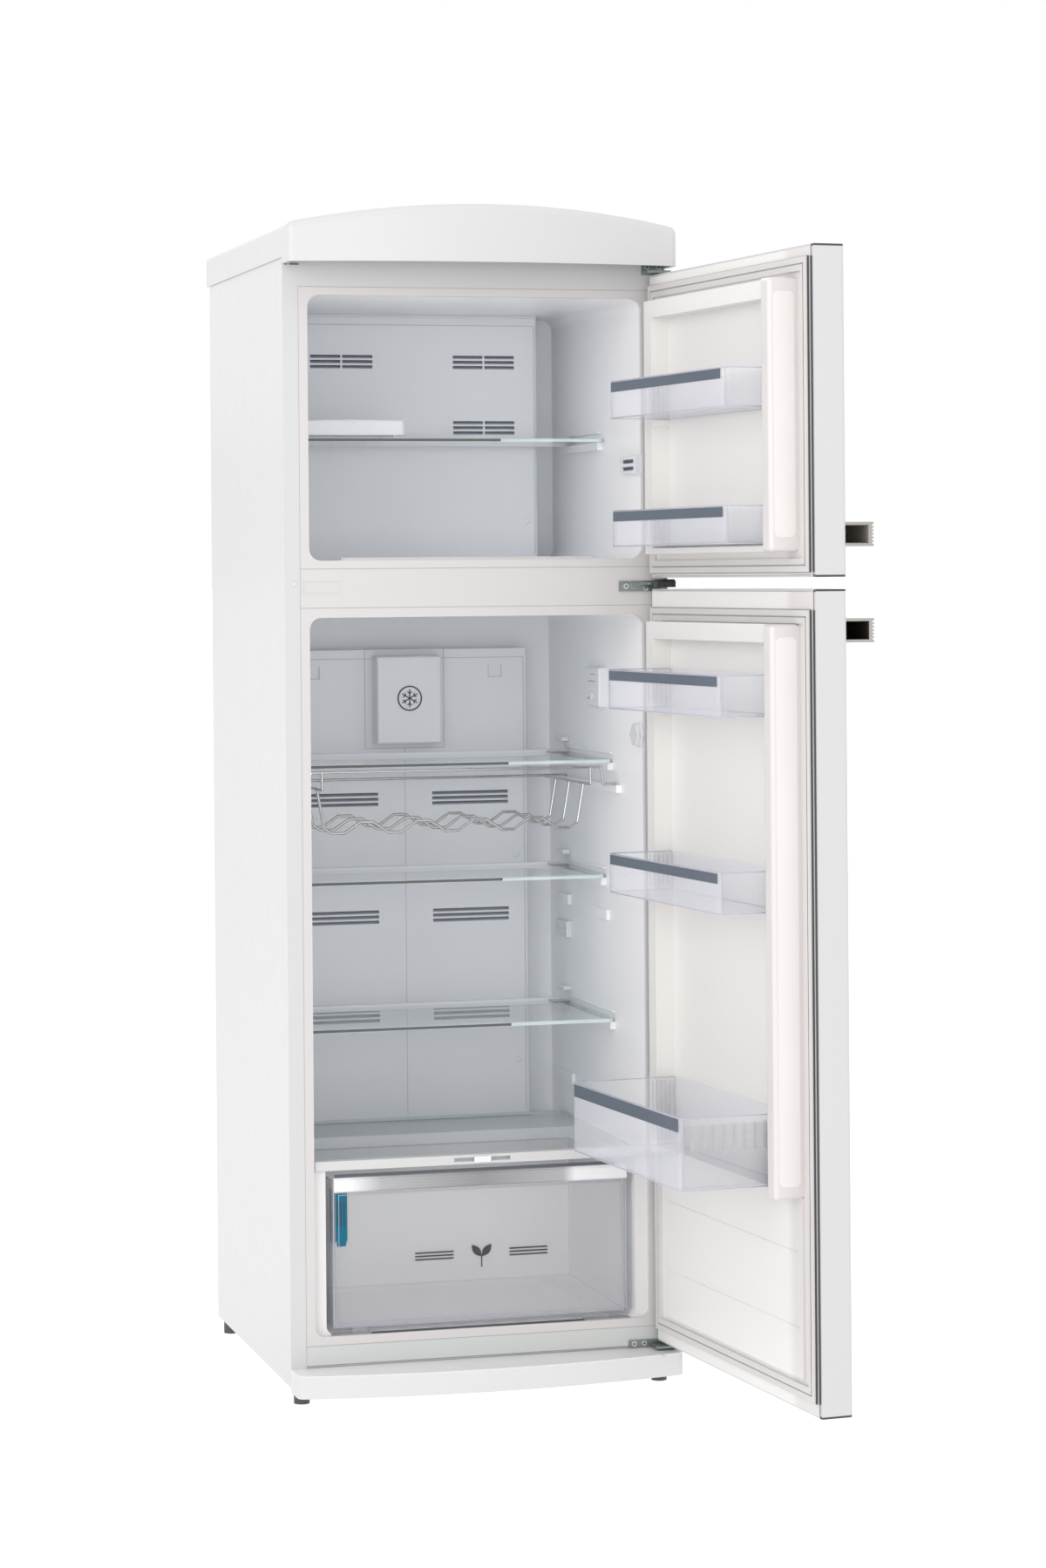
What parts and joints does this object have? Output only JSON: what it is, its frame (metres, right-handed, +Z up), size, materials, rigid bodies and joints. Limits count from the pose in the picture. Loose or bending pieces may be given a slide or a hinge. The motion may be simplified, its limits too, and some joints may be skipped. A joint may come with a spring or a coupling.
{
  "type": "top freezer refrigerator",
  "caption": "Rounded retro top freezer refrigerator with both doors open, clear door bins, glass shelves, wire wine rack and a clear crisper drawer.",
  "frame": {"origin": "on the floor, midway between the four feet", "axes": "+Z up; +X to the right seen from the front; the doors' closed faces look along -Y"},
  "size_m": [0.7209, 1.2101, 1.7986],
  "materials": {
    "white_paint": "smooth white enamel",
    "grey_paint": "grey coated steel",
    "zinc_steel": "zinc-plated steel",
    "insulation": "rigid foam",
    "liner_plastic": "moulded liner, satin",
    "white_plastic": "moulded white plastic",
    "hinge_paint": "coated steel",
    "screw_steel": "plated steel",
    "aluminium": "bare fins and tubes",
    "black_plastic": "black moulded plastic",
    "black_paint": "black enamel",
    "lens_plastic": "frosted lens",
    "shelf_glass": "toughened, polished edges",
    "chrome": "bright plated",
    "silver_plastic": "silver coated plastic",
    "clear_plastic": "clear moulded plastic",
    "blue_plastic": "translucent blue",
    "dark_plastic": "dark brown-grey moulded plastic",
    "cap_plastic": "dark grey end cap",
    "gasket_rubber": "soft light grey seal"
  },
  "bodies": {
    "cabinet": {"outer_wrapper": "white_paint", "rear_panel": "grey_paint", "base_pan": "zinc_steel", "machine_cover": "zinc_steel", "cabinet_foam": "insulation", "freezer_liner": "liner_plastic", "fridge_liner": "liner_plastic", "mullion_cover": "liner_plastic", "bottom_rail": "white_paint", "kick_plate": "white_plastic", "top_crown": "white_plastic", "top_hinge": "hinge_paint", "middle_hinge": "hinge_paint", "bottom_hinge": "hinge_paint", "front_screws": "screw_steel", "freezer_duct_panel": "white_plastic", "fridge_duct_panel": "white_plastic", "duct_box_cover": "white_plastic", "evaporator": "aluminium", "fan_motor": "black_plastic", "compressor": "black_paint", "cord_gland": "black_plastic", "control_panel": "white_plastic", "lamp_lens": "lens_plastic", "sensor_covers": "white_plastic", "crisper_cover": "shelf_glass", "crisper_trim": "white_plastic", "foot_blocks": "dark_plastic"},
    "freezer_door": {"freezer_door_skin": "white_paint", "freezer_door_foam": "insulation", "freezer_door_end_caps": "cap_plastic", "freezer_door_liner": "liner_plastic", "freezer_door_gasket": "gasket_rubber", "freezer_door_handle": "chrome"},
    "fridge_door": {"fridge_door_skin": "white_paint", "fridge_door_foam": "insulation", "fridge_door_end_caps": "cap_plastic", "fridge_door_liner": "liner_plastic", "fridge_door_gasket": "gasket_rubber", "fridge_door_handle": "chrome"},
    "drawer": {"crisper_drawer": "clear_plastic", "drawer_strip": "silver_plastic", "freshness_cartridge": "blue_plastic"},
    "fan_rotor": {"fan_rotor": "black_plastic"},
    "control_button": {"control_button": "white_plastic"},
    "humidity_slider": {"humidity_slider": "white_plastic"},
    "freezer_shelf": {"freezer_shelf": "shelf_glass"},
    "fridge_shelf_1": {"fridge_shelf_1": "shelf_glass"},
    "fridge_shelf_2": {"fridge_shelf_2": "shelf_glass"},
    "fridge_shelf_3": {"fridge_shelf_3": "shelf_glass"},
    "wine_rack": {"wine_rack": "chrome"},
    "ice_tray": {"ice_tray": "white_plastic"},
    "foot_left": {"foot_left": "dark_plastic"},
    "foot_right": {"foot_right": "dark_plastic"},
    "bottle_holder": {"bottle_holder": "clear_plastic"},
    "freezer_balcony_upper": {"freezer_balcony_upper": "clear_plastic"},
    "freezer_balcony_lower": {"freezer_balcony_lower": "clear_plastic"},
    "fridge_balcony_upper": {"fridge_balcony_upper": "clear_plastic"},
    "fridge_balcony_middle": {"fridge_balcony_middle": "clear_plastic"},
    "bottle_bin": {"bottle_bin": "clear_plastic"}
  },
  "joints": [
    {"name": "freezer_door_hinge", "type": "hinge", "parent": "cabinet", "child": "freezer_door", "pos_m": [0.288, -0.318, 1.46], "axis": [0, 0, 1], "range_deg": [-95, 20]},
    {"name": "fridge_door_hinge", "type": "hinge", "parent": "cabinet", "child": "fridge_door", "pos_m": [0.288, -0.318, 0.64], "axis": [0, 0, 1], "range_deg": [-95, 20]},
    {"name": "drawer_slide", "type": "slide", "parent": "cabinet", "child": "drawer", "axis": [0, -1, 0], "range_m": [0, 0.22]},
    {"name": "freezer_shelf_slide", "type": "slide", "parent": "cabinet", "child": "freezer_shelf", "axis": [0, -1, 0], "range_m": [0, 0.18]},
    {"name": "shelf_1_slide", "type": "slide", "parent": "cabinet", "child": "fridge_shelf_1", "axis": [0, -1, 0], "range_m": [0, 0.18]},
    {"name": "shelf_2_slide", "type": "slide", "parent": "cabinet", "child": "fridge_shelf_2", "axis": [0, -1, 0], "range_m": [0, 0.18]},
    {"name": "shelf_3_slide", "type": "slide", "parent": "cabinet", "child": "fridge_shelf_3", "axis": [0, -1, 0], "range_m": [0, 0.18]},
    {"name": "rack_slide", "type": "slide", "parent": "cabinet", "child": "wine_rack", "axis": [0, -1, 0], "range_m": [0, 0.16]},
    {"name": "ice_tray_lift", "type": "slide", "parent": "freezer_shelf", "child": "ice_tray", "axis": [0, 0, 1], "range_m": [0, 0.08]},
    {"name": "freezer_balcony_upper_lift", "type": "slide", "parent": "freezer_door", "child": "freezer_balcony_upper", "axis": [0, 0, 1], "range_m": [0, 0.04]},
    {"name": "freezer_balcony_lower_lift", "type": "slide", "parent": "freezer_door", "child": "freezer_balcony_lower", "axis": [0, 0, 1], "range_m": [0, 0.04]},
    {"name": "fridge_balcony_upper_lift", "type": "slide", "parent": "fridge_door", "child": "fridge_balcony_upper", "axis": [0, 0, 1], "range_m": [0, 0.035]},
    {"name": "fridge_balcony_middle_lift", "type": "slide", "parent": "fridge_door", "child": "fridge_balcony_middle", "axis": [0, 0, 1], "range_m": [0, 0.04]},
    {"name": "bottle_bin_lift", "type": "slide", "parent": "fridge_door", "child": "bottle_bin", "axis": [0, 0, 1], "range_m": [0, 0.04]},
    {"name": "bottle_holder_slide", "type": "slide", "parent": "bottle_bin", "child": "bottle_holder", "axis": [-0.0872, 0.9962, 0], "range_m": [0, 0.25]},
    {"name": "humidity_slide", "type": "slide", "parent": "cabinet", "child": "humidity_slider", "axis": [1, 0, 0], "range_m": [-0.03, 0.03]},
    {"name": "control_button_push", "type": "slide", "parent": "cabinet", "child": "control_button", "axis": [1, 0, 0], "range_m": [0, 0.001], "stiffness_N_per_m": 400},
    {"name": "left_foot_turn", "type": "hinge", "parent": "cabinet", "child": "foot_left", "pos_m": [-0.281, -0.28, 0.02], "axis": [0, 0, 1], "range_deg": [-90, 90]},
    {"name": "right_foot_turn", "type": "hinge", "parent": "cabinet", "child": "foot_right", "pos_m": [0.281, -0.28, 0.02], "axis": [0, 0, 1], "range_deg": [-90, 90]},
    {"name": "fan_spin", "type": "hinge", "parent": "cabinet", "child": "fan_rotor", "pos_m": [0, 0.16, 1.53], "axis": [0, 1, 0], "continuous": true}
  ]
}
